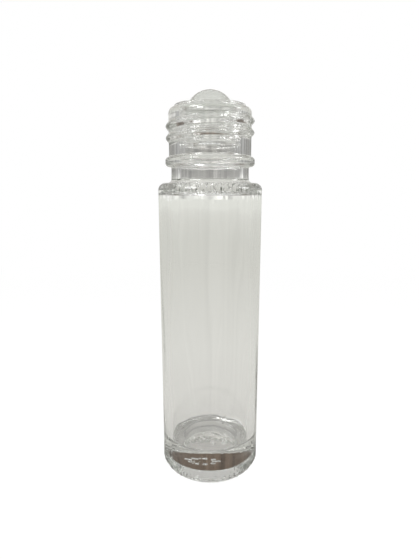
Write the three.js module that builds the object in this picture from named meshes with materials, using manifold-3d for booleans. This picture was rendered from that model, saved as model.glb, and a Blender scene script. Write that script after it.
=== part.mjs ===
// A roll-on bottle in clear glass, with the push-in roller that closes its neck.
// Millimetres, +Z up. The origin is the centre of the ring that the bottle stands on.
// Three pieces: the moulded glass bottle, the roller housing in its neck, and the ball.

import * as THREE from "three";
import { mergeVertices } from "three/addons/utils/BufferGeometryUtils.js";
import Module from "manifold-3d";

const wasm = await Module();
wasm.setup();

// Glass body
const bodyRadius = 10;
const bodyWall = 1.9;
const shoulderHeight = 60.3;
const shoulderThickness = 2;
const shoulderEdgeRadius = 1.2;
const heelRadius = 3.2;
const floorThickness = 7.3; // at the wall
const floorDome = 1; // the floor rises this much towards its middle
const floorFilletRadius = 0.6;
const roofFilletRadius = 0.3;

// Underside: a narrow ring to stand on, round a push-up with a flat top and a sloping side
const bearingWidth = 0.4;
const pushUpDepth = 3.3;
const pushUpSlope = 1.7; // its side leans in by this much from foot to top
const pushUpEdge = 0.4;

// Neck, from the shoulder up to the rim
const neckHeight = 13.6;
const neckRadius = 7.8;
const neckWall = 1.9;
const neckRelief = 0.25; // the neck is this much slimmer below the bead
const neckFootRadius = 0.5;
const throatRadius = 0.7;
const rimEdgeRadius = 1;
const mouthEdgeRadius = 0.4;

// Bead round the neck, which the cap's skirt stops above
const beadRise = 3.9;
const beadThickness = 1.9;
const beadDepth = 0.7;

// Roller housing: a plug with sealing ribs inside the neck and a thin flange on the rim
const plugClearance = 0.06;
const ribDepth = 0.2;
const ribWidth = 0.9;
const ribCount = 3;
const ribTopDrop = 1.5;
const skirtLength = 2.5; // below the ball's seat
const skirtWall = 0.75;
const skirtLeadIn = 0.4;
const flangeWidth = 0.8;
const flangeThickness = 0.5;
const flangeEdgeRadius = 0.25;

// Ball socket: the lip keeps the ball in, and the slotted seat lets the liquid reach it
const socketWall = 0.79;
const ballClearance = 0.1;
const lipAngle = THREE.MathUtils.degToRad(25);
const seatAngle = THREE.MathUtils.degToRad(50);
const seatThickness = 1;
const feedSlotCount = 4;
const feedSlotWidth = 1.2;
const feedSlotReach = 0.9;

// Sizes of the glass that follow from those above
const lowerNeckRadius = neckRadius - neckRelief;
const boreRadius = neckRadius - neckWall;
const cavityRadius = bodyRadius - bodyWall;
const bearingRadius = bodyRadius - heelRadius;
const pushUpFoot = bearingRadius - bearingWidth;
const pushUpRadius = pushUpFoot - pushUpSlope;
const rimHeight = shoulderHeight + neckHeight;
const roofHeight = shoulderHeight - shoulderThickness;
const beadHeight = shoulderHeight + beadRise;
const beadRadius = neckRadius + beadDepth;

// Sizes of the roller that follow, with heights measured from the rim
const plugRadius = boreRadius - plugClearance;
const skirtRadius = plugRadius - ribDepth;
const skirtBoreRadius = skirtRadius - skirtWall;
const flangeRadius = boreRadius + flangeWidth;
const socketRadius = skirtRadius - socketWall;
const ballRadius = socketRadius - ballClearance;
const ballHeight = flangeThickness - socketRadius * Math.sin(lipAngle);
const feedRadius = socketRadius * Math.cos(seatAngle);
const seatHeight = ballHeight - socketRadius * Math.sin(seatAngle);
const webHeight = seatHeight - seatThickness;
const plugBottom = webHeight - skirtLength;
const ribPitch = (-plugBottom - skirtLeadIn - ribTopDrop) / ribCount;

// Facets
const turnSegments = 48;
const arcDivisions = 3;
const ballSegments = 32;
const ballRings = 20;
const slotOvercut = 1; // a slot's cutter runs this far past the faces that it opens

const quarter = Math.PI / 2;

// Fillets that share a wall are drawn in together where the wall can't hold them
function fitFillets(radii, wall) {
  const asked = radii.reduce((sum, radius) => sum + radius);
  const share = Math.min(1, (0.9 * wall) / asked);
  return radii.map((radius) => radius * share);
}

// A solid turned about Z from a profile of (radius, height) that climbs on its outside
function revolve(profile) {
  const turned = new THREE.LatheGeometry(profile.getPoints(arcDivisions), turnSegments);
  return toSolid(turned.rotateX(quarter));
}

function toSolid(geometry) {
  geometry.deleteAttribute("normal");
  geometry.deleteAttribute("uv");
  const merged = mergeVertices(geometry);
  const corners = merged.index.array;
  const triVerts = [];
  for (let i = 0; i < corners.length; i += 3) {
    const [a, b, c] = corners.slice(i, i + 3);
    if (a !== b && b !== c && c !== a) triVerts.push(a, b, c);
  }
  return new wasm.Manifold(
    new wasm.Mesh({
      numProp: 3,
      vertProperties: merged.attributes.position.array,
      triVerts: new Uint32Array(triVerts),
    }),
  );
}

function toMesh(name, solid, material) {
  const { vertProperties, triVerts } = solid.getMesh();
  const geometry = new THREE.BufferGeometry();
  geometry.setAttribute("position", new THREE.BufferAttribute(vertProperties, 3));
  geometry.setIndex(new THREE.BufferAttribute(triVerts, 1));
  geometry.computeVertexNormals();
  const mesh = new THREE.Mesh(geometry, material);
  mesh.name = name;
  return mesh;
}

function clearMaterial(color, roughness, opacity) {
  return new THREE.MeshStandardMaterial({ color, roughness, metalness: 0, transparent: true, opacity });
}

// Section of the glass: up its outside from the middle of the push-up, over the rim,
// and down its inside to the middle of the floor
function bottleOutline() {
  const [edge, foot] = fitFillets([shoulderEdgeRadius, neckFootRadius], bodyRadius - lowerNeckRadius);
  const [rim, mouth] = fitFillets([rimEdgeRadius, mouthEdgeRadius], neckWall);
  const [roof, throat] = fitFillets([roofFilletRadius, throatRadius], cavityRadius - boreRadius);
  const floor = floorFilletRadius;
  const domeRadius = cavityRadius - floor;
  const domeHeight = floorThickness + floorDome;
  const edgeShare = pushUpEdge / Math.hypot(pushUpSlope, pushUpDepth);
  const beadHalf = beadThickness / 2;
  return new THREE.Path()
    .moveTo(0, pushUpDepth)
    .lineTo(pushUpRadius - pushUpEdge, pushUpDepth)
    .quadraticCurveTo(
      pushUpRadius,
      pushUpDepth,
      pushUpRadius + pushUpSlope * edgeShare,
      pushUpDepth * (1 - edgeShare),
    )
    .lineTo(pushUpFoot, 0)
    .absarc(bearingRadius, heelRadius, heelRadius, -quarter, 0)
    .absarc(bodyRadius - edge, shoulderHeight - edge, edge, 0, quarter)
    .absarc(lowerNeckRadius + foot, shoulderHeight + foot, foot, -quarter, -2 * quarter, true)
    .absellipse(lowerNeckRadius, beadHeight, beadRadius - lowerNeckRadius, beadHalf, -quarter, 0)
    .absellipse(neckRadius, beadHeight, beadRadius - neckRadius, beadHalf, 0, quarter)
    .absarc(neckRadius - rim, rimHeight - rim, rim, 0, quarter)
    .absarc(boreRadius + mouth, rimHeight - mouth, mouth, quarter, 2 * quarter)
    .absarc(boreRadius + throat, roofHeight + throat, throat, 2 * quarter, 3 * quarter)
    .absarc(cavityRadius - roof, roofHeight - roof, roof, quarter, 0, true)
    .absarc(domeRadius, floorThickness + floor, floor, 0, -quarter, true)
    .quadraticCurveTo(domeRadius / 2, domeHeight, 0, domeHeight);
}

// Section of the housing: up its outside over the ribs and the flange, down the socket
function housingOutline() {
  const [edge] = fitFillets([flangeEdgeRadius], flangeThickness);
  const outline = new THREE.Path()
    .moveTo(skirtBoreRadius, webHeight)
    .lineTo(skirtBoreRadius, plugBottom)
    .lineTo(skirtRadius - skirtLeadIn, plugBottom)
    .lineTo(skirtRadius, plugBottom + skirtLeadIn);
  for (let rib = ribCount - 1; rib >= 0; rib--) {
    const top = -ribTopDrop - rib * ribPitch;
    outline
      .lineTo(skirtRadius, top - ribWidth)
      .lineTo(plugRadius, top - ribWidth + ribDepth)
      .lineTo(plugRadius, top - ribDepth)
      .lineTo(skirtRadius, top);
  }
  return outline
    .lineTo(skirtRadius, 0)
    .lineTo(flangeRadius, 0)
    .absarc(flangeRadius - edge, flangeThickness - edge, edge, 0, quarter)
    .absarc(0, ballHeight, socketRadius, lipAngle, -seatAngle, true)
    .lineTo(feedRadius, webHeight)
    .closePath();
}

// Radial slots that open the seat's web outwards from its hole
function feedSlots() {
  const length = feedSlotReach + slotOvercut;
  const height = seatThickness + feedSlotReach + slotOvercut;
  const middleRadius = feedRadius + feedSlotReach - length / 2;
  const middleHeight = seatHeight + feedSlotReach - height / 2;
  const slots = [];
  for (let slot = 0; slot < feedSlotCount; slot++) {
    const box = new THREE.BoxGeometry(length, feedSlotWidth, height);
    box.translate(middleRadius, 0, middleHeight);
    box.rotateZ((2 * Math.PI * (slot + 0.5)) / feedSlotCount);
    slots.push(toSolid(box));
  }
  return slots;
}

function glassBottle() {
  return toMesh("glass_bottle", revolve(bottleOutline()), clearMaterial(0xdfe3e0, 0.05, 0.35));
}

function rollerHousing() {
  const plug = revolve(housingOutline());
  const slotted = feedSlots().reduce((solid, slot) => solid.subtract(slot), plug);
  return toMesh("roller_housing", slotted, clearMaterial(0xe6e9ea, 0.2, 0.55));
}

function rollerBall() {
  const sphere = new THREE.SphereGeometry(ballRadius, ballSegments, ballRings);
  const ball = toMesh("roller_ball", toSolid(sphere), clearMaterial(0xdde4e6, 0.03, 0.4));
  ball.position.z = ballHeight;
  return ball;
}

const roller = new THREE.Group();
roller.position.z = rimHeight;
roller.add(rollerHousing(), rollerBall());

const rollOnBottle = new THREE.Group();
rollOnBottle.add(glassBottle(), roller);

export default rollOnBottle;
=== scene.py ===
import math

import bmesh
import bpy
import numpy as np
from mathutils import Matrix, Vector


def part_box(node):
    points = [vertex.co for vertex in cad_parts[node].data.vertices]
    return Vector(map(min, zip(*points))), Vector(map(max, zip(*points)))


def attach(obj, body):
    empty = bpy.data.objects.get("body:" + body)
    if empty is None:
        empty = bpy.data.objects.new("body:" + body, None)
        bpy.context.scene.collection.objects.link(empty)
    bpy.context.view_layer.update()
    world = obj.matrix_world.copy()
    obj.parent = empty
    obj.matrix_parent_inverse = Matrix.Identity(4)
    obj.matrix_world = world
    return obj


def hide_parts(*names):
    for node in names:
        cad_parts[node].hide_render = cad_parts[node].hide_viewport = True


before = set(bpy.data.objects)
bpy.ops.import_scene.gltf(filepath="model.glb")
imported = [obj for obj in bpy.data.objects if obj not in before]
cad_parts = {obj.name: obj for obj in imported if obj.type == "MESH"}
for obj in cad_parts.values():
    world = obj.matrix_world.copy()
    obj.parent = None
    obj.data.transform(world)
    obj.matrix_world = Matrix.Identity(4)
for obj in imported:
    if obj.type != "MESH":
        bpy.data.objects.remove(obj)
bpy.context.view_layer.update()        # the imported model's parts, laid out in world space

mm = 0.001               # sizes below are written in millimetres
mergeWithin = 0.0005 * mm    # points closer than this become one
pointWithin = 0.001 * mm     # how near a point is to the place that is meant
surfaceWithin = 0.01 * mm    # how near it is to the surface that is meant
longEdge = 0.9 * mm          # shorter edges of a section aren't divided
scene = bpy.context.scene

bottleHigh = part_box("glass_bottle")[1]
housingLow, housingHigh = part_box("roller_housing")
ballLow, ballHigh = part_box("roller_ball")
rimHeight = bottleHigh.z
print("frame loaded, rim at", round(rimHeight / mm, 2), "mm")


# Drawing a half section, corner by corner, in the XZ plane

def selectVerts(piece, wanted):
    mesh = bmesh.from_edit_mesh(piece.data)
    bpy.ops.mesh.select_all(action="DESELECT")
    for vert in mesh.verts:
        vert.select_set(wanted(vert.co))
    mesh.select_flush_mode()
    bmesh.update_edit_mesh(piece.data)


def startSection(name, radius, height):
    bpy.ops.object.select_all(action="DESELECT")
    bpy.ops.mesh.primitive_plane_add(size=mm)
    piece = bpy.context.object
    piece.name = name
    piece.data.name = name
    bpy.ops.object.mode_set(mode="EDIT")
    bpy.ops.mesh.select_all(action="SELECT")
    bpy.ops.mesh.merge(type="CENTER")          # the plane shrinks to the section's first point
    bpy.ops.transform.translate(value=(radius, 0, height))
    return piece


def extrudeTo(piece, radius, height):
    tip = next(vert.co for vert in bmesh.from_edit_mesh(piece.data).verts if vert.select)
    step = (radius - tip.x, 0, height - tip.z)
    bpy.ops.mesh.extrude_region_move(TRANSFORM_OT_translate={"value": step})


def roundCorner(piece, before, corner, after, segments, profile=0.5):
    radius, height, rounding = corner[:3]
    toBefore = math.atan2(before[1] - height, before[0] - radius)
    toAfter = math.atan2(after[1] - height, after[0] - radius)
    trim = rounding / abs(math.tan((toAfter - toBefore) / 2))
    selectVerts(piece, lambda at: math.hypot(at.x - radius, at.z - height) < pointWithin)
    bpy.ops.mesh.bevel(
        offset=trim,
        offset_type="OFFSET",
        affect="VERTICES",
        segments=segments,
        profile=profile,
    )


def drawSection(name, corners, segments):      # a corner is a radius, height, rounding and maybe a bevel
    piece = startSection(name, *corners[0][:2])
    for corner in corners[1:]:
        extrudeTo(piece, *corner[:2])
    for before, corner, after in zip(corners, corners[1:], corners[2:]):
        if corner[2]:
            roundCorner(piece, before, corner, after, *(corner[3:] or (segments,)))
    return piece


def refine(piece, low, high, cuts):            # more points on the edges inside a (radius, height) window
    mesh = bmesh.from_edit_mesh(piece.data)
    bpy.ops.mesh.select_all(action="DESELECT")
    for edge in mesh.edges:
        middle = (edge.verts[0].co + edge.verts[1].co) / 2
        inWindow = low[0] < middle.x < high[0] and low[1] < middle.z < high[1]
        if inWindow and edge.calc_length() > longEdge:
            edge.select_set(True)
    bmesh.update_edit_mesh(piece.data)
    bpy.ops.mesh.subdivide(number_cuts=cuts)


def turnSection(piece, steps):                 # spins the section about the bottle's axis and closes it
    bpy.ops.mesh.select_all(action="SELECT")
    bpy.ops.mesh.spin(steps=steps, angle=2 * math.pi, center=(0, 0, 0), axis=(0, 0, 1))
    bpy.ops.mesh.select_all(action="SELECT")
    bpy.ops.mesh.remove_doubles(threshold=mergeWithin)
    bpy.ops.mesh.normals_make_consistent(inside=False)
    bpy.ops.object.mode_set(mode="OBJECT")


def readPoints(piece):
    points = np.empty(len(piece.data.vertices) * 3)
    piece.data.vertices.foreach_get("co", points)
    return points.reshape(-1, 3)


def writePoints(piece, points):
    piece.data.vertices.foreach_set("co", points.ravel())
    piece.data.update()


def smoothShade(piece, sharpAngle):            # flat faces keep their normals up to their rounded edges
    bpy.ops.object.shade_smooth_by_angle(angle=math.radians(sharpAngle))
    points = readPoints(piece)
    writePoints(piece, points / mm)            # faces in square metres are too small for the modifier
    weighted = piece.modifiers.new("weightedNormals", "WEIGHTED_NORMAL")
    weighted.keep_sharp = True
    bpy.ops.object.modifier_apply(modifier=weighted.name)
    writePoints(piece, points)


def smoothStep(value):
    held = np.clip(value, 0, 1)
    return held * held * (3 - 2 * held)


# Node helpers and the effect that the clear materials share

def addNode(tree, kind, place, **values):
    node = tree.nodes.new(kind)
    node.location = place
    for name, value in values.items():
        setattr(node, name, value)
    return node


def noiseNode(tree, place, vector, scale, detail):
    noise = addNode(tree, "ShaderNodeTexNoise", place)
    tree.links.new(vector, noise.inputs["Vector"])
    noise.inputs["Scale"].default_value = scale
    noise.inputs["Detail"].default_value = detail
    return noise


def mathNode(tree, place, operation, first, second):
    node = addNode(tree, "ShaderNodeMath", place, operation=operation)
    for socket, value in zip(node.inputs, (first, second)):
        if isinstance(value, (int, float)):
            socket.default_value = value
        else:
            tree.links.new(value, socket)
    return node.outputs[0]


mouldedSkin = {
    "waveDetail": 1,
    "peelDetail": 2,
    "smearScale": 160,
    "smearDetail": 4,
    "smearPower": 3.0,
}


def mouldedSkinGroup():                        # slow waves, fine peel and faint smears of a moulded skin
    group = bpy.data.node_groups.new("mouldedSkin", "ShaderNodeTree")
    sockets = group.interface
    sockets.new_socket("Vector", in_out="INPUT", socket_type="NodeSocketVector")
    for name in ("Wave Scale", "Peel Scale", "Peel Share", "Smear Share"):
        sockets.new_socket(name, in_out="INPUT", socket_type="NodeSocketFloat")
    sockets.new_socket("Height", in_out="OUTPUT", socket_type="NodeSocketFloat")
    sockets.new_socket("Roughness", in_out="OUTPUT", socket_type="NodeSocketFloat")
    given = addNode(group, "NodeGroupInput", (-700, 0))
    result = addNode(group, "NodeGroupOutput", (500, 0))
    vector = given.outputs["Vector"]
    waves = noiseNode(group, (-400, 200), vector, 1, mouldedSkin["waveDetail"])
    peel = noiseNode(group, (-400, -50), vector, 1, mouldedSkin["peelDetail"])
    smears = noiseNode(group, (-400, -300), vector, mouldedSkin["smearScale"], mouldedSkin["smearDetail"])
    group.links.new(given.outputs["Wave Scale"], waves.inputs["Scale"])
    group.links.new(given.outputs["Peel Scale"], peel.inputs["Scale"])
    finePeel = mathNode(group, (-150, -50), "MULTIPLY", peel.outputs["Fac"], given.outputs["Peel Share"])
    height = mathNode(group, (100, 100), "ADD", waves.outputs["Fac"], finePeel)
    smear = mathNode(group, (-150, -300), "POWER", smears.outputs["Fac"], mouldedSkin["smearPower"])
    rough = mathNode(group, (100, -250), "MULTIPLY", smear, given.outputs["Smear Share"])
    group.links.new(height, result.inputs["Height"])
    group.links.new(rough, result.inputs["Roughness"])
    return group


def clearMaterial(name, look, skin):
    material = bpy.data.materials.new(name)
    material.use_nodes = True
    tree = material.node_tree
    tree.nodes.clear()
    place = addNode(tree, "ShaderNodeTexCoord", (-900, 0))
    moulded = addNode(tree, "ShaderNodeGroup", (-650, 0), node_tree=skin)
    tree.links.new(place.outputs["Object"], moulded.inputs["Vector"])
    moulded.inputs["Wave Scale"].default_value = look["waveScale"]
    moulded.inputs["Peel Scale"].default_value = look["peelScale"]
    moulded.inputs["Peel Share"].default_value = look["peelShare"]
    moulded.inputs["Smear Share"].default_value = look["smear"]
    bump = addNode(tree, "ShaderNodeBump", (-400, -200))
    bump.inputs["Strength"].default_value = 1
    bump.inputs["Distance"].default_value = look["bumpDepth"]
    tree.links.new(moulded.outputs["Height"], bump.inputs["Height"])
    surface = addNode(tree, "ShaderNodeBsdfPrincipled", (-150, 100))
    surface.inputs["Base Color"].default_value = (*look["color"], 1)
    surface.inputs["IOR"].default_value = look["ior"]
    surface.inputs["Transmission Weight"].default_value = look["transmission"]
    rough = mathNode(tree, (-400, 100), "ADD", moulded.outputs["Roughness"], look["roughness"])
    tree.links.new(rough, surface.inputs["Roughness"])
    tree.links.new(bump.outputs["Normal"], surface.inputs["Normal"])
    passing = addNode(tree, "ShaderNodeBsdfTransparent", (-150, 300))
    passing.inputs["Color"].default_value = (*look["shadowColor"], 1)
    lightPath = addNode(tree, "ShaderNodeLightPath", (-150, 700))
    shadowMix = addNode(tree, "ShaderNodeMixShader", (200, 200))
    tree.links.new(lightPath.outputs["Is Shadow Ray"], shadowMix.inputs["Fac"])
    tree.links.new(surface.outputs["BSDF"], shadowMix.inputs[1])
    tree.links.new(passing.outputs["BSDF"], shadowMix.inputs[2])
    output = addNode(tree, "ShaderNodeOutputMaterial", (450, 100))
    tree.links.new(shadowMix.outputs["Shader"], output.inputs["Surface"])
    if look["absorbDensity"]:
        absorb = addNode(tree, "ShaderNodeVolumeAbsorption", (200, -100))
        absorb.inputs["Color"].default_value = (*look["absorbColor"], 1)
        absorb.inputs["Density"].default_value = look["absorbDensity"]
        tree.links.new(absorb.outputs["Volume"], output.inputs["Volume"])
    return material


def dressPiece(piece, material, body, node):
    piece.data.materials.clear()
    piece.data.materials.append(material)
    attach(piece, body)
    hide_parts(node)


skin = mouldedSkinGroup()


# Glass bottle

bottle = {
    "turnSteps": 256,
    "cornerSegments": 8,
    "sharpAngle": 50,
    "bodyRadius": bottleHigh.x,
    "cavityRadius": 8.1 * mm,
    "shoulderHeight": 60.3 * mm,
    "shoulderRounding": 1.4 * mm,
    "roofHeight": 58.3 * mm,
    "roofRounding": 0.3 * mm,
    "ledgeHeight": 8 * mm,                     # a ledge runs round a shallow well in the floor
    "ledgeRounding": 0.5 * mm,
    "wellRadius": 5.7 * mm,
    "wellFoot": 5.3 * mm,
    "wellRounding": 0.35 * mm,
    "floorHeight": 6.8 * mm,
    "heelRounding": 3.2 * mm,
    "heelSegments": 26,
    "heelProfile": 0.39,                       # 0.5 would be a plain quarter circle
    "pushUpRadius": 5.7 * mm,
    "pushUpDepth": 2.8 * mm,
    "pushUpFoot": 6.2 * mm,                    # its side slopes out to here, on the bearing ring
    "pushUpRounding": 0.2 * mm,
    "bearingRounding": 0.08 * mm,
    "lowerNeckRadius": 7.4 * mm,
    "neckRadius": 7.8 * mm,
    "neckFootRounding": 0.8 * mm,
    "boreRadius": 5.9 * mm,
    "throatRounding": 0.7 * mm,
    "rimRounding": 1 * mm,
    "mouthRounding": 0.4 * mm,
    "beadRadius": 8.5 * mm,
    "beadLow": 63.2 * mm,
    "beadHigh": 65.1 * mm,
    "beadSlope": 0.2 * mm,
    "beadRounding": 0.6 * mm,
    "beadRootRounding": 0.25 * mm,
    "seamColumn": 203,                         # mould parting line, counted in turn steps
    "seamRise": 0.05 * mm,
    "seamReach": 0.3,                          # of a turn step, to each side
    "rings": {                                 # points added along the section, for its skin to be worked
        "thread": 60,
        "body": 14,
        "wall": 28,
        "roof": 6,
        "bore": 20,
        "floor": 20,
        "well": 8,
        "pushUp": 36,
        "pushUpSide": 16,
    },
    "thread": {
        "depth": 0.55 * mm,
        "halfWidth": 1 * mm,
        "pitch": 2.1 * mm,
        "turns": 1.95,
        "topDrop": 1.9 * mm,                   # from the rim down to the thread's upper end
        "lowEndAngle": math.radians(90),
        "fadeTurns": 0.14,
    },
    "waver": {                                 # uneven thickness of the blown inside
        "wall": 0.045 * mm,
        "wallWaves": (                         # each has a share, lobes round the wall, a lean and a start
            (1, 2, 0.05, 0.6),
            (0.7, 5, -0.09, -1.2),
            (0.5, 11, 0.13, 2.4),
        ),
        "wallFade": 8,                         # millimetres in which they die out towards floor and roof
        "roofGap": 2,                          # and how far below the roof they end
        "floor": 0.02 * mm,
        "floorWaves": ((1.3, 0, 0, 0.4), (0, 1.1, 0, -0.7)),
    },
    "stipple": {                               # the mould's worked skin takes the shine off the edges
        "heel": 0.08 * mm,
        "heelReach": 1.3,                      # times the heel's rounding
        "heelFade": 1.2 * mm,
        "footFade": 0.3 * mm,                  # the bearing ring stays plain
        "footGap": 0.2 * mm,
        "heelArcs": 0.03 * mm,
        "arcRate": 7,                          # radians for each millimetre up
        "arcStart": 2,
        "arcSway": 1.2,
        "arcSwayRate": 0.9,
        "pushUpSide": 0.04 * mm,
        "sideGap": 0.3 * mm,
        "sideFade": 0.5 * mm,
        "bumpWaves": (                         # uneven, so that no pattern shows
            (1, (5.2, 2.1, 1.7, 0), (-2.3, 4.6, 3.1, 0)),
            (0.7, (0, 7.3, 3.9, 1), (6.8, 0, -4.4, 0)),
        ),
        "throat": 0.08 * mm,
        "throatReach": 1.2 * mm,
        "throatGap": 0.7 * mm,
        "neckFoot": 0.016 * mm,
        "neckFootReach": 1.2,                  # times the neck foot's rounding
        "neckFootGap": 0.1 * mm,
        "seed": 7,
    },
    "pips": {                                  # small ring of plain moulded dots under the base
        "count": 9,
        "ringMiddle": (-1 * mm, 0.3 * mm),
        "ringRadius": 1.8 * mm,
        "radius": 0.45 * mm,
        "rise": 0.14 * mm,
        "fullness": 1.2,                       # above 1 their tops are flat
    },
    "look": {
        "color": (1, 1, 1),
        "roughness": 0.0,
        "ior": 1.52,
        "transmission": 1,
        "absorbColor": (0.85, 0.86, 0.845),
        "absorbDensity": 80,
        "shadowColor": (0.91, 0.92, 0.92),
        "waveScale": 120,
        "peelScale": 900,
        "peelShare": 0.12,
        "smear": 0.05,
        "bumpDepth": 0.03 * mm,
    },
}


def bottleSection():
    return [
        (0, bottle["pushUpDepth"], 0),
        (bottle["pushUpRadius"], bottle["pushUpDepth"], bottle["pushUpRounding"]),
        (bottle["pushUpFoot"], 0, bottle["bearingRounding"]),
        (bottle["bodyRadius"], 0, bottle["heelRounding"], bottle["heelSegments"], bottle["heelProfile"]),
        (bottle["bodyRadius"], bottle["shoulderHeight"], bottle["shoulderRounding"]),
        (bottle["lowerNeckRadius"], bottle["shoulderHeight"], bottle["neckFootRounding"]),
        (bottle["lowerNeckRadius"], bottle["beadLow"], bottle["beadRootRounding"]),
        (bottle["beadRadius"], bottle["beadLow"] + bottle["beadSlope"], bottle["beadRounding"]),
        (bottle["beadRadius"], bottle["beadHigh"] - bottle["beadSlope"], bottle["beadRounding"]),
        (bottle["neckRadius"], bottle["beadHigh"], bottle["beadRootRounding"]),
        (bottle["neckRadius"], rimHeight, bottle["rimRounding"]),
        (bottle["boreRadius"], rimHeight, bottle["mouthRounding"]),
        (bottle["boreRadius"], bottle["roofHeight"], bottle["throatRounding"]),
        (bottle["cavityRadius"], bottle["roofHeight"], bottle["roofRounding"]),
        (bottle["cavityRadius"], bottle["ledgeHeight"], bottle["ledgeRounding"]),
        (bottle["wellRadius"], bottle["ledgeHeight"], bottle["wellRounding"]),
        (bottle["wellFoot"], bottle["floorHeight"], bottle["wellRounding"]),
        (0, bottle["floorHeight"], 0),
    ]


def refineBottle(piece):
    outside = 0.5 * (bottle["cavityRadius"] + bottle["bodyRadius"])
    neckMiddle = 0.5 * (bottle["boreRadius"] + bottle["neckRadius"])
    far = 2 * bottle["bodyRadius"]
    near = 0.1 * mm
    roof = bottle["roofHeight"]
    floor = bottle["floorHeight"]
    top = bottle["pushUpDepth"]
    edge = 0.9 * top                           # between the push-up's side and its top
    rings = bottle["rings"]
    refine(piece, (neckMiddle, bottle["beadHigh"]), (far, rimHeight), rings["thread"])
    refine(piece, (outside, bottle["heelRounding"]), (far, bottle["shoulderHeight"]), rings["body"])
    refine(piece, (neckMiddle, floor), (outside, roof - mm), rings["wall"])
    refine(piece, (bottle["boreRadius"], roof - near), (bottle["cavityRadius"], roof + near), rings["roof"])
    refine(piece, (0, roof + mm), (neckMiddle, rimHeight), rings["bore"])
    refine(piece, (0, floor - mm), (bottle["wellFoot"], floor + near), rings["floor"])
    refine(piece, (bottle["wellFoot"], floor), (bottle["wellRadius"], bottle["ledgeHeight"]), rings["well"])
    refine(piece, (0, edge), (bottle["pushUpRadius"], top + near), rings["pushUp"])
    refine(piece, (bottle["pushUpRadius"], near), (bottle["pushUpFoot"], edge), rings["pushUpSide"])


def raiseThread(points):
    thread = bottle["thread"]
    radius = np.hypot(points[:, 0], points[:, 1])
    angle = np.arctan2(points[:, 1], points[:, 0])
    onNeck = (np.abs(radius - bottle["neckRadius"]) < surfaceWithin) & (points[:, 2] > bottle["beadHigh"])
    lowEnd = rimHeight - thread["topDrop"] - thread["pitch"] * thread["turns"]
    rise = np.zeros(len(points))
    for lap in range(-1, 3):                   # an angle alone doesn't say which turn a point is on
        turnsUp = (angle - thread["lowEndAngle"]) / (2 * math.pi) + lap
        fade = smoothStep(np.minimum(turnsUp, thread["turns"] - turnsUp) / thread["fadeTurns"])
        off = np.abs(points[:, 2] - lowEnd - thread["pitch"] * turnsUp)
        across = np.clip(off / thread["halfWidth"], 0, 1)
        rise = np.maximum(rise, fade * thread["depth"] * 0.5 * (1 + np.cos(math.pi * across)))
    swell = np.where(onNeck, (radius + rise) / np.maximum(radius, mm), 1)
    points[:, :2] *= swell[:, None]


def raiseSeams(points):
    radius = np.hypot(points[:, 0], points[:, 1])
    angle = np.arctan2(points[:, 1], points[:, 0])
    step = 2 * math.pi / bottle["turnSteps"]
    away = np.abs((angle - bottle["seamColumn"] * step + 0.5 * math.pi) % math.pi - 0.5 * math.pi)
    aboveShoulder = points[:, 2] > bottle["shoulderHeight"]
    outer = np.where(aboveShoulder, bottle["lowerNeckRadius"], bottle["bodyRadius"]) - surfaceWithin
    onSeam = (away < bottle["seamReach"] * step) & (radius > outer) & (points[:, 2] > bottle["heelRounding"])
    points[onSeam, :2] *= (1 + bottle["seamRise"] / radius[onSeam])[:, None]


def wave(points, alongX, alongY, alongZ, start):  # radians for each millimetre, and where it starts
    x, y, z = (points / mm).T
    return np.sin(alongX * x + alongY * y + alongZ * z + start)


def waverInside(points):
    waver = bottle["waver"]
    radius = np.hypot(points[:, 0], points[:, 1])
    angle = np.arctan2(points[:, 1], points[:, 0])
    up = points[:, 2] / mm
    onWall = np.abs(radius - bottle["cavityRadius"]) < surfaceWithin
    onWall &= points[:, 2] < bottle["roofHeight"]
    wallFoot = (bottle["ledgeHeight"] + bottle["ledgeRounding"]) / mm
    wallTop = bottle["roofHeight"] / mm - waver["roofGap"]
    fade = waver["wallFade"]
    room = smoothStep((up - wallFoot) / fade) * smoothStep((wallTop - up) / fade)
    waves = 0
    for share, lobes, lean, start in waver["wallWaves"]:
        waves = waves + share * np.sin(lobes * angle + lean * up + start)
    moved = np.where(onWall, 1 + waver["wall"] * room * waves / np.maximum(radius, mm), 1)
    points[:, :2] *= moved[:, None]
    onFloor = np.abs(points[:, 2] - bottle["floorHeight"]) < pointWithin
    first, second = waver["floorWaves"]
    ripples = wave(points, *first) * wave(points, *second)
    outward = np.clip(radius / (bottle["wellFoot"] - bottle["wellRounding"]), 0, 1)
    points[:, 2] += np.where(onFloor, (1 - outward * outward) * waver["floor"] * ripples, 0)


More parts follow.
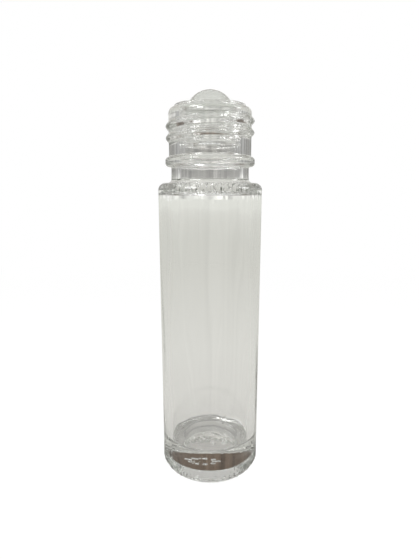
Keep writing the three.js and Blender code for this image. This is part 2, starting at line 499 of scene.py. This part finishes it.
def stippleSkin(piece, points):                # small irregular bumps along the surface's own normals
    stipple = bottle["stipple"]
    normals = np.empty(points.size)
    piece.data.vertex_normals.foreach_get("vector", normals)
    normals = normals.reshape(-1, 3)
    radius = np.hypot(points[:, 0], points[:, 1])
    height = points[:, 2]
    outside = radius > bottle["pushUpFoot"] + stipple["footGap"]
    heelTop = stipple["heelReach"] * bottle["heelRounding"]
    heel = outside & (height < heelTop)
    offFloor = smoothStep(height / stipple["footFade"])
    fromFlat = offFloor * smoothStep((heelTop - height) / stipple["heelFade"])
    sideTop = bottle["pushUpDepth"] - stipple["sideGap"]
    side = ~outside & (height < sideTop)
    fromEdges = offFloor * smoothStep((sideTop - height) / stipple["sideFade"])
    throat = radius < bottle["cavityRadius"] - stipple["throatGap"]
    throat &= np.abs(height - bottle["roofHeight"]) < stipple["throatReach"]
    neckFoot = radius < bottle["lowerNeckRadius"] + bottle["neckFootRounding"]
    neckFoot &= radius > bottle["lowerNeckRadius"] - stipple["neckFootGap"]
    neckFootReach = stipple["neckFootReach"] * bottle["neckFootRounding"]
    neckFoot &= np.abs(height - bottle["shoulderHeight"]) < neckFootReach
    depth = np.where(heel, stipple["heel"] * fromFlat, 0)
    depth += np.where(side, stipple["pushUpSide"] * fromEdges, 0)
    grain = np.random.default_rng(stipple["seed"]).normal(size=len(points))
    sparkle = np.where(throat, stipple["throat"], 0) + np.where(neckFoot, stipple["neckFoot"], 0)
    sway = stipple["arcSway"] * wave(points, stipple["arcSwayRate"], 0, 0, 0)
    arcs = np.sin(stipple["arcRate"] * (points[:, 2] / mm) + sway + stipple["arcStart"])
    ripples = np.where(heel, stipple["heelArcs"] * fromFlat * arcs, 0)
    bumps = 0
    for share, first, second in stipple["bumpWaves"]:
        bumps = bumps + share * wave(points, *first) * wave(points, *second)
    points += (depth * bumps + sparkle * grain + ripples)[:, None] * normals


def raisePips(points):
    pips = bottle["pips"]
    underside = np.abs(points[:, 2] - bottle["pushUpDepth"]) < pointWithin
    for pip in range(pips["count"]):
        angle = 2 * math.pi * pip / pips["count"]
        x = pips["ringMiddle"][0] + pips["ringRadius"] * math.cos(angle)
        y = pips["ringMiddle"][1] + pips["ringRadius"] * math.sin(angle)
        away = np.hypot(points[:, 0] - x, points[:, 1] - y)
        dome = smoothStep(pips["fullness"] * (1 - away / pips["radius"]))
        points[:, 2] -= np.where(underside, pips["rise"] * dome, 0)


def makeBottle():
    piece = drawSection("glassBottle", bottleSection(), bottle["cornerSegments"])
    refineBottle(piece)
    turnSection(piece, bottle["turnSteps"])
    points = readPoints(piece)
    stippleSkin(piece, points)
    raisePips(points)
    raiseThread(points)
    raiseSeams(points)
    waverInside(points)
    writePoints(piece, points)
    smoothShade(piece, bottle["sharpAngle"])
    glass = clearMaterial("clearGlass", bottle["look"], skin)
    dressPiece(piece, glass, "bottle", "glass_bottle")
    piece.data.calc_loop_triangles()
    print("glass bottle:", len(piece.data.loop_triangles), "triangles")


makeBottle()


# Roller housing

housing = {
    "turnSteps": 128,
    "cornerSegments": 4,
    "sharpAngle": 35,
    "plugRadius": 5.84 * mm,
    "skirtRadius": 5.64 * mm,
    "skirtBoreRadius": 4.89 * mm,
    "skirtLeadIn": 0.4 * mm,
    "flangeThickness": 0.5 * mm,
    "flangeRounding": 0.2 * mm,
    "seatGap": 0.02 * mm,                      # air between the flange and the glass rim
    "ribCount": 3,
    "ribTopDrop": 1.5 * mm,
    "ribWidth": 0.9 * mm,
    "ribDepth": 0.2 * mm,
    "ribRounding": 0.08 * mm,
    "ballClearance": 0.1 * mm,
    "lipAngle": math.radians(25),
    "seatAngle": math.radians(50),
    "socketSteps": 28,
    "seatThickness": 1 * mm,
    "slotCount": 4,
    "slotWidth": 1.2 * mm,
    "slotReach": 0.9 * mm,
    "slotOvercut": 1 * mm,
    "look": {
        "color": (0.985, 0.985, 0.98),
        "roughness": 0.04,
        "ior": 1.5,
        "transmission": 1,
        "absorbColor": (1, 1, 1),
        "absorbDensity": 0,
        "shadowColor": (0.9, 0.92, 0.92),
        "waveScale": 300,
        "peelScale": 2500,
        "peelShare": 0.2,
        "smear": 0.2,
        "bumpDepth": 0.02 * mm,
    },
}

ballRadius = (ballHigh.z - ballLow.z) / 2
ballHeight = (ballHigh.z + ballLow.z) / 2


def housingSection():
    lipHeight = rimHeight + housing["flangeThickness"]
    socketRadius = ballRadius + housing["ballClearance"]
    webHeight = ballHeight - socketRadius * math.sin(housing["seatAngle"]) - housing["seatThickness"]
    leadIn = housingLow.z + housing["skirtLeadIn"]
    ribPitch = (rimHeight - housing["ribTopDrop"] - leadIn) / housing["ribCount"]
    corners = [
        (housing["skirtBoreRadius"], webHeight, 0),
        (housing["skirtBoreRadius"], housingLow.z, housing["ribRounding"]),
        (housing["skirtRadius"] - housing["skirtLeadIn"], housingLow.z, housing["ribRounding"]),
        (housing["skirtRadius"], leadIn, housing["ribRounding"]),
    ]
    for rib in reversed(range(housing["ribCount"])):
        top = rimHeight - housing["ribTopDrop"] - rib * ribPitch
        corners += [
            (housing["skirtRadius"], top - housing["ribWidth"], housing["ribRounding"]),
            (housing["plugRadius"], top - housing["ribWidth"] + housing["ribDepth"], housing["ribRounding"]),
            (housing["plugRadius"], top - housing["ribDepth"], housing["ribRounding"]),
            (housing["skirtRadius"], top, housing["ribRounding"]),
        ]
    corners += [
        (housing["skirtRadius"], rimHeight + housing["seatGap"], housing["ribRounding"]),
        (housingHigh.x, rimHeight + housing["seatGap"], housing["ribRounding"]),
        (housingHigh.x, lipHeight, housing["flangeRounding"]),
        (socketRadius * math.cos(housing["lipAngle"]), lipHeight, 0),
    ]
    return corners, webHeight


def drawSocket(piece, lip, webHeight):         # the lip's point swings round the ball down to its seat
    selectVerts(piece, lambda at: math.hypot(at.x - lip[0], at.z - lip[1]) < pointWithin)
    sweep = housing["lipAngle"] + housing["seatAngle"]
    bpy.ops.mesh.spin(steps=housing["socketSteps"], angle=-sweep, center=(0, 0, ballHeight), axis=(0, 1, 0))
    seatRadius = next(vert.co.x for vert in bmesh.from_edit_mesh(piece.data).verts if vert.select)
    extrudeTo(piece, seatRadius, webHeight)
    first = (housing["skirtBoreRadius"], webHeight)
    extrudeTo(piece, *first)
    selectVerts(piece, lambda at: math.hypot(at.x - first[0], at.z - first[1]) < pointWithin)
    bpy.ops.mesh.remove_doubles(threshold=mergeWithin)
    return seatRadius


def cutFeedSlots(piece, seatRadius, seatHeight):
    length = housing["slotReach"] + housing["slotOvercut"]
    height = housing["seatThickness"] + housing["slotReach"] + housing["slotOvercut"]
    middle = seatRadius + housing["slotReach"] - length / 2
    middleHeight = seatHeight + housing["slotReach"] - height / 2
    for slot in range(housing["slotCount"]):
        angle = 2 * math.pi * (slot + 0.5) / housing["slotCount"]
        bpy.ops.object.select_all(action="DESELECT")
        bpy.ops.mesh.primitive_cube_add(
            size=1,
            location=(middle * math.cos(angle), middle * math.sin(angle), middleHeight),
            rotation=(0, 0, angle),
            scale=(length, housing["slotWidth"], height),
        )
        cutter = bpy.context.object
        bpy.ops.object.select_all(action="DESELECT")
        bpy.context.view_layer.objects.active = piece
        piece.select_set(True)
        cut = piece.modifiers.new("feedSlot", "BOOLEAN")
        cut.operation = "DIFFERENCE"
        cut.solver = "EXACT"
        cut.object = cutter
        bpy.ops.object.modifier_apply(modifier=cut.name)
        bpy.data.objects.remove(cutter)


def makeHousing():
    corners, webHeight = housingSection()
    piece = drawSection("rollerHousing", corners, housing["cornerSegments"])
    seatRadius = drawSocket(piece, corners[-1], webHeight)
    turnSection(piece, housing["turnSteps"])
    cutFeedSlots(piece, seatRadius, webHeight + housing["seatThickness"])
    smoothShade(piece, housing["sharpAngle"])
    plastic = clearMaterial("clearPlastic", housing["look"], skin)
    dressPiece(piece, plastic, "roller", "roller_housing")
    print("roller housing:", len(piece.data.polygons), "faces")


makeHousing()


# Roller ball

ball = {
    "cubeCuts": 11,
    "smoothing": 2,
    "look": {
        "color": (1, 1, 1),
        "roughness": 0.0,
        "ior": 1.5,
        "transmission": 1,
        "absorbColor": (0.93, 0.95, 0.945),
        "absorbDensity": 100,
        "shadowColor": (0.92, 0.94, 0.94),
        "waveScale": 60,
        "peelScale": 3000,
        "peelShare": 0.02,
        "smear": 0.04,
        "bumpDepth": 0.01 * mm,
    },
}


def makeBall():                                # a cube, cut fine, blown up to a sphere and then smoothed
    bpy.ops.object.select_all(action="DESELECT")
    bpy.ops.mesh.primitive_cube_add(size=2 * ballRadius / math.sqrt(3))
    piece = bpy.context.object
    piece.name = "rollerBall"
    piece.data.name = "rollerBall"
    bpy.ops.object.mode_set(mode="EDIT")
    bpy.ops.mesh.select_all(action="SELECT")
    bpy.ops.mesh.subdivide(number_cuts=ball["cubeCuts"])
    bpy.ops.transform.tosphere(value=1)
    bpy.ops.object.mode_set(mode="OBJECT")
    smooth = piece.modifiers.new("smooth", "SUBSURF")
    smooth.levels = ball["smoothing"]
    smooth.render_levels = ball["smoothing"]
    bpy.ops.object.modifier_apply(modifier=smooth.name)
    points = readPoints(piece)
    away = np.linalg.norm(points, axis=1)
    points *= (ballRadius / away)[:, None]     # ground round, to the gauge of the socket
    points[:, 2] += ballHeight
    writePoints(piece, points)
    bpy.ops.object.shade_smooth()
    glass = clearMaterial("ballGlass", ball["look"], skin)
    dressPiece(piece, glass, "ball", "roller_ball")
    print("roller ball:", len(piece.data.polygons), "faces")


makeBall()


# Stage: camera, floor, world and lamps

view = {
    "place": (0, -97.25 * mm, 58.97 * mm),
    "pitchDown": math.radians(13.33),
    "sensorWidth": 36,
    "focalPixels": 488.1,
    "imageHeight": 559,
    "centreDrop": 26.3,                        # pixels from the picture's middle down to the optical axis
    "centreShift": 0.6,
}

stage = {
    "floorSize": 6,
    "floorColor": (0.95, 0.95, 0.94),
    "glowShare": 0.85,                         # near the bottle; the rest of its light shows the shadow
    "shadowReach": (0.08, 0.3),
    "plainLight": 0.8,
    "paintedFloorShadeInGlass": (                          # what glass shows of the floor, by distance from the bottle; painted shade, darker towards the bottle
        (0.0, (0.46, 0.45, 0.43)),
        (0.005, (0.38, 0.37, 0.35)),
        # painted contact shadow: a dark ring just outside the bottle's foot
        (0.0062, (0.1, 0.09, 0.08)),
        (0.009, (0.1, 0.09, 0.08)),
        (0.011, (0.52, 0.51, 0.475)),
        (0.014, (0.54, 0.53, 0.495)),
        (0.022, (0.61, 0.6, 0.56)),
        (0.05, (0.645, 0.64, 0.595)),
        (0.3, (0.645, 0.645, 0.6)),
        (0.75, (0.71, 0.71, 0.665)),
        (1.0, (0.77, 0.775, 0.725)),
    ),
    "floorInGlassReach": 1.6,
    "paintedFloorStreaks": {"scale": 18, "turn": 0, "depth": 0.22},  # painted light and shade: soft streaks that fan out from the bottle
    "roomStreaks": {"scale": 9, "turn": 0.8, "depth": 2.2},
    "roomBehind": (                            # what glass shows of the room, by how far up a ray points
        (0.0, (0.86, 0.85, 0.82)),
        (0.502, (0.8, 0.8, 0.76)),
        (0.507, (0.34, 0.335, 0.32)),
        (0.55, (0.34, 0.335, 0.32)),
        (0.565, (0.8, 0.79, 0.76)),
        (0.715, (0.78, 0.76, 0.72)),
        (0.745, (0.16, 0.115, 0.085)),
        (0.79, (0.2, 0.15, 0.115)),
        (0.83, (0.85, 0.86, 0.86)),
        (1.0, (1.0, 1.0, 1.0)),
    ),
    "roomBefore": (
        (0.0, (0.86, 0.85, 0.82)),
        (0.502, (0.92, 0.92, 0.89)),
        (0.53, (0.3, 0.28, 0.26)),
        (0.6, (0.1, 0.085, 0.07)),
        (0.8, (0.1, 0.085, 0.07)),
        (0.88, (0.8, 0.8, 0.8)),
        (1.0, (1.0, 1.0, 1.0)),
    ),
    "roomBeside": (
        (0.0, (0.86, 0.85, 0.82)),
        (0.502, (0.95, 0.95, 0.92)),
        (0.52, (0.43, 0.43, 0.42)),
        (0.7, (0.55, 0.55, 0.54)),
        (0.735, (0.14, 0.11, 0.09)),
        (0.8, (0.16, 0.13, 0.11)),
        (0.83, (0.7, 0.7, 0.69)),
        (1.0, (1.0, 1.0, 1.0)),
    ),
    "besideUpTo": (0.55, 0.85),                # it gives way to the others between these shares of Y
    "bounces": 64,
    "clearBounces": 48,
    "glossyBounces": 40,
}

lamps = (
    {"name": "keySoftbox", "place": (-0.22, -0.2, 0.3), "size": 0.16, "watts": 0.9, "seenThrough": True},
    {"name": "rightStrip", "place": (0.26, -0.02, 0.2), "size": 0.1, "watts": 0.25, "seenThrough": False},
)


def makeCamera():
    data = bpy.data.cameras.new("photoCamera")
    camera = bpy.data.objects.new("photoCamera", data)
    scene.collection.objects.link(camera)
    camera.location = view["place"]
    camera.rotation_euler = (math.pi / 2 - view["pitchDown"], 0, 0)
    data.sensor_width = view["sensorWidth"]
    data.lens = view["focalPixels"] / view["imageHeight"] * data.sensor_width
    data.shift_x = -view["centreShift"] / view["imageHeight"]
    data.shift_y = view["centreDrop"] / view["imageHeight"]
    data.clip_start = mm
    scene.camera = camera


def seenInGlass(tree, place):                  # 1 on rays that a glossy or clear surface sends on
    lightPath = addNode(tree, "ShaderNodeLightPath", place)
    glossy, passed = lightPath.outputs["Is Glossy Ray"], lightPath.outputs["Is Transmission Ray"]
    return lightPath, mathNode(tree, (place[0] + 200, place[1]), "MAXIMUM", glossy, passed)


def mixColor(tree, place, factor, first, second):
    node = addNode(tree, "ShaderNodeMix", place, data_type="RGBA")
    tree.links.new(factor, node.inputs["Factor"])
    for socket, value in zip((node.inputs[6], node.inputs[7]), (first, second)):  # its two colour sockets
        if isinstance(value, tuple):
            socket.default_value = (*value, 1)
        else:
            tree.links.new(value, socket)
    return node.outputs[2]


def rampNode(tree, place, factor, bands):
    ramp = addNode(tree, "ShaderNodeValToRGB", place)
    tree.links.new(factor, ramp.inputs["Fac"])
    elements = ramp.color_ramp.elements
    while len(elements) < len(bands):
        elements.new(0.5)
    for element, (position, color) in zip(elements, bands):
        element.position = position
        element.color = (*color, 1)
    return ramp.outputs["Color"]


def rangeNode(tree, place, value, low, high):
    node = addNode(tree, "ShaderNodeMapRange", place)
    node.inputs["From Min"].default_value = low
    node.inputs["From Max"].default_value = high
    tree.links.new(value, node.inputs["Value"])
    return node.outputs["Result"]


def streakNode(tree, place, parts, streaks, inGlass):  # light and dark by the angle about the bottle's axis
    left, top = place
    angle = mathNode(tree, (left, top), "ARCTAN2", parts.outputs["X"], parts.outputs["Y"])
    angle = mathNode(tree, (left + 100, top), "ADD", angle, streaks["turn"])
    noise = addNode(tree, "ShaderNodeTexNoise", (left + 200, top), noise_dimensions="1D")
    noise.inputs["Scale"].default_value = streaks["scale"]
    noise.inputs["Detail"].default_value = 1
    tree.links.new(angle, noise.inputs["W"])
    lift = mathNode(tree, (left + 400, top), "SUBTRACT", noise.outputs["Fac"], 0.5)
    lift = mathNode(tree, (left + 500, top), "MULTIPLY", lift, streaks["depth"])
    lift = mathNode(tree, (left + 600, top), "MULTIPLY", lift, inGlass)
    return mathNode(tree, (left + 700, top), "ADD", lift, 1)


def makeFloor():
    bpy.ops.object.select_all(action="DESELECT")
    bpy.ops.mesh.primitive_plane_add(size=stage["floorSize"])
    floor = bpy.context.object
    floor.name = "paleFloor"
    material = bpy.data.materials.new("paleFloor")
    material.use_nodes = True
    tree = material.node_tree
    tree.nodes.clear()
    place = addNode(tree, "ShaderNodeTexCoord", (-1300, 0))
    away = addNode(tree, "ShaderNodeVectorMath", (-1100, 0), operation="LENGTH")
    tree.links.new(place.outputs["Object"], away.inputs[0])
    distance = away.outputs["Value"]
    lightPath, inGlass = seenInGlass(tree, (-900, 500))
    seen = mathNode(tree, (-400, 500), "MAXIMUM", lightPath.outputs["Is Camera Ray"], inGlass)
    farOff = rangeNode(tree, (-900, 200), distance, *stage["shadowReach"])
    glowShare = mathNode(tree, (-500, 250), "MULTIPLY_ADD", farOff, 1 - stage["glowShare"])
    glowShare.node.inputs[2].default_value = stage["glowShare"]
    share = mathNode(tree, (-200, 400), "MULTIPLY", seen, glowShare)
    matte = addNode(tree, "ShaderNodeBsdfDiffuse", (-200, 0))
    matte.inputs["Color"].default_value = (*stage["floorColor"], 1)
    glow = addNode(tree, "ShaderNodeEmission", (-200, 200))
    # painted shade of the bottle on the floor, shown only to glass
    reach = rangeNode(tree, (-900, -100), distance, 0, stage["floorInGlassReach"])
    paintedShadeThroughGlass = rampNode(tree, (-700, -100), reach, stage["paintedFloorShadeInGlass"])
    glowColor = mixColor(tree, (-400, 100), inGlass, (1.0, 1.0, 1.0), paintedShadeThroughGlass)
    tree.links.new(glowColor, glow.inputs["Color"])
    parts = addNode(tree, "ShaderNodeSeparateXYZ", (-1100, -350))
    tree.links.new(place.outputs["Object"], parts.inputs["Vector"])
    # painted light and shade: streaks in the floor's glow, seen only in glass
    streaks = streakNode(tree, (-900, -350), parts, stage["paintedFloorStreaks"], inGlass)
    tree.links.new(streaks, glow.inputs["Strength"])
    both = addNode(tree, "ShaderNodeMixShader", (50, 200))
    tree.links.new(share, both.inputs["Fac"])
    tree.links.new(matte.outputs["BSDF"], both.inputs[1])
    tree.links.new(glow.outputs["Emission"], both.inputs[2])
    output = addNode(tree, "ShaderNodeOutputMaterial", (250, 200))
    tree.links.new(both.outputs["Shader"], output.inputs["Surface"])
    floor.data.materials.append(material)


def makeWorld():
    world = bpy.data.worlds.new("studio")
    scene.world = world
    world.use_nodes = True
    tree = world.node_tree
    tree.nodes.clear()
    direction = addNode(tree, "ShaderNodeTexCoord", (-1200, 0))
    parts = addNode(tree, "ShaderNodeSeparateXYZ", (-1000, 0))
    tree.links.new(direction.outputs["Generated"], parts.inputs["Vector"])
    height = rangeNode(tree, (-800, 0), parts.outputs["Z"], -1, 1)
    besideRoom = rampNode(tree, (-600, -600), height, stage["roomBeside"])
    behindRoom = rampNode(tree, (-600, 0), height, stage["roomBehind"])
    beforeRoom = rampNode(tree, (-600, -300), height, stage["roomBefore"])
    toFront = mathNode(tree, (-800, -500), "MULTIPLY", parts.outputs["Y"], -1)
    behind = rangeNode(tree, (-600, 300), parts.outputs["Y"], *stage["besideUpTo"])
    before = rangeNode(tree, (-600, 600), toFront, *stage["besideUpTo"])
    room = mixColor(tree, (-300, -100), behind, besideRoom, behindRoom)
    room = mixColor(tree, (-100, -100), before, room, beforeRoom)
    lightPath, inGlass = seenInGlass(tree, (-900, 500))
    plain = (stage["plainLight"],) * 3
    lit = mixColor(tree, (-200, 100), inGlass, plain, room)
    shown = mixColor(tree, (0, 100), lightPath.outputs["Is Camera Ray"], lit, (1.0, 1.0, 1.0))
    background = addNode(tree, "ShaderNodeBackground", (200, 100))
    tree.links.new(shown, background.inputs["Color"])
    streaks = streakNode(tree, (-900, 900), parts, stage["roomStreaks"], inGlass)
    tree.links.new(streaks, background.inputs["Strength"])
    output = addNode(tree, "ShaderNodeOutputWorld", (400, 100))
    tree.links.new(background.outputs["Background"], output.inputs["Surface"])


def makeLamp(lamp):
    data = bpy.data.lights.new(lamp["name"], "AREA")
    data.size = lamp["size"]
    data.energy = lamp["watts"]
    lampObject = bpy.data.objects.new(lamp["name"], data)
    scene.collection.objects.link(lampObject)
    lampObject.location = lamp["place"]
    lampObject.visible_transmission = lamp["seenThrough"]  # a lamp seen through the base is a square
    aim = Vector((0, 0, 0.5 * rimHeight)) - lampObject.location
    lampObject.rotation_euler = aim.to_track_quat("-Z", "Y").to_euler()


makeCamera()
makeFloor()
makeWorld()
for lamp in lamps:
    makeLamp(lamp)
scene.view_settings.view_transform = "Standard"
scene.cycles.max_bounces = stage["bounces"]
scene.cycles.transmission_bounces = stage["clearBounces"]
scene.cycles.glossy_bounces = stage["glossyBounces"]
print("stage set")
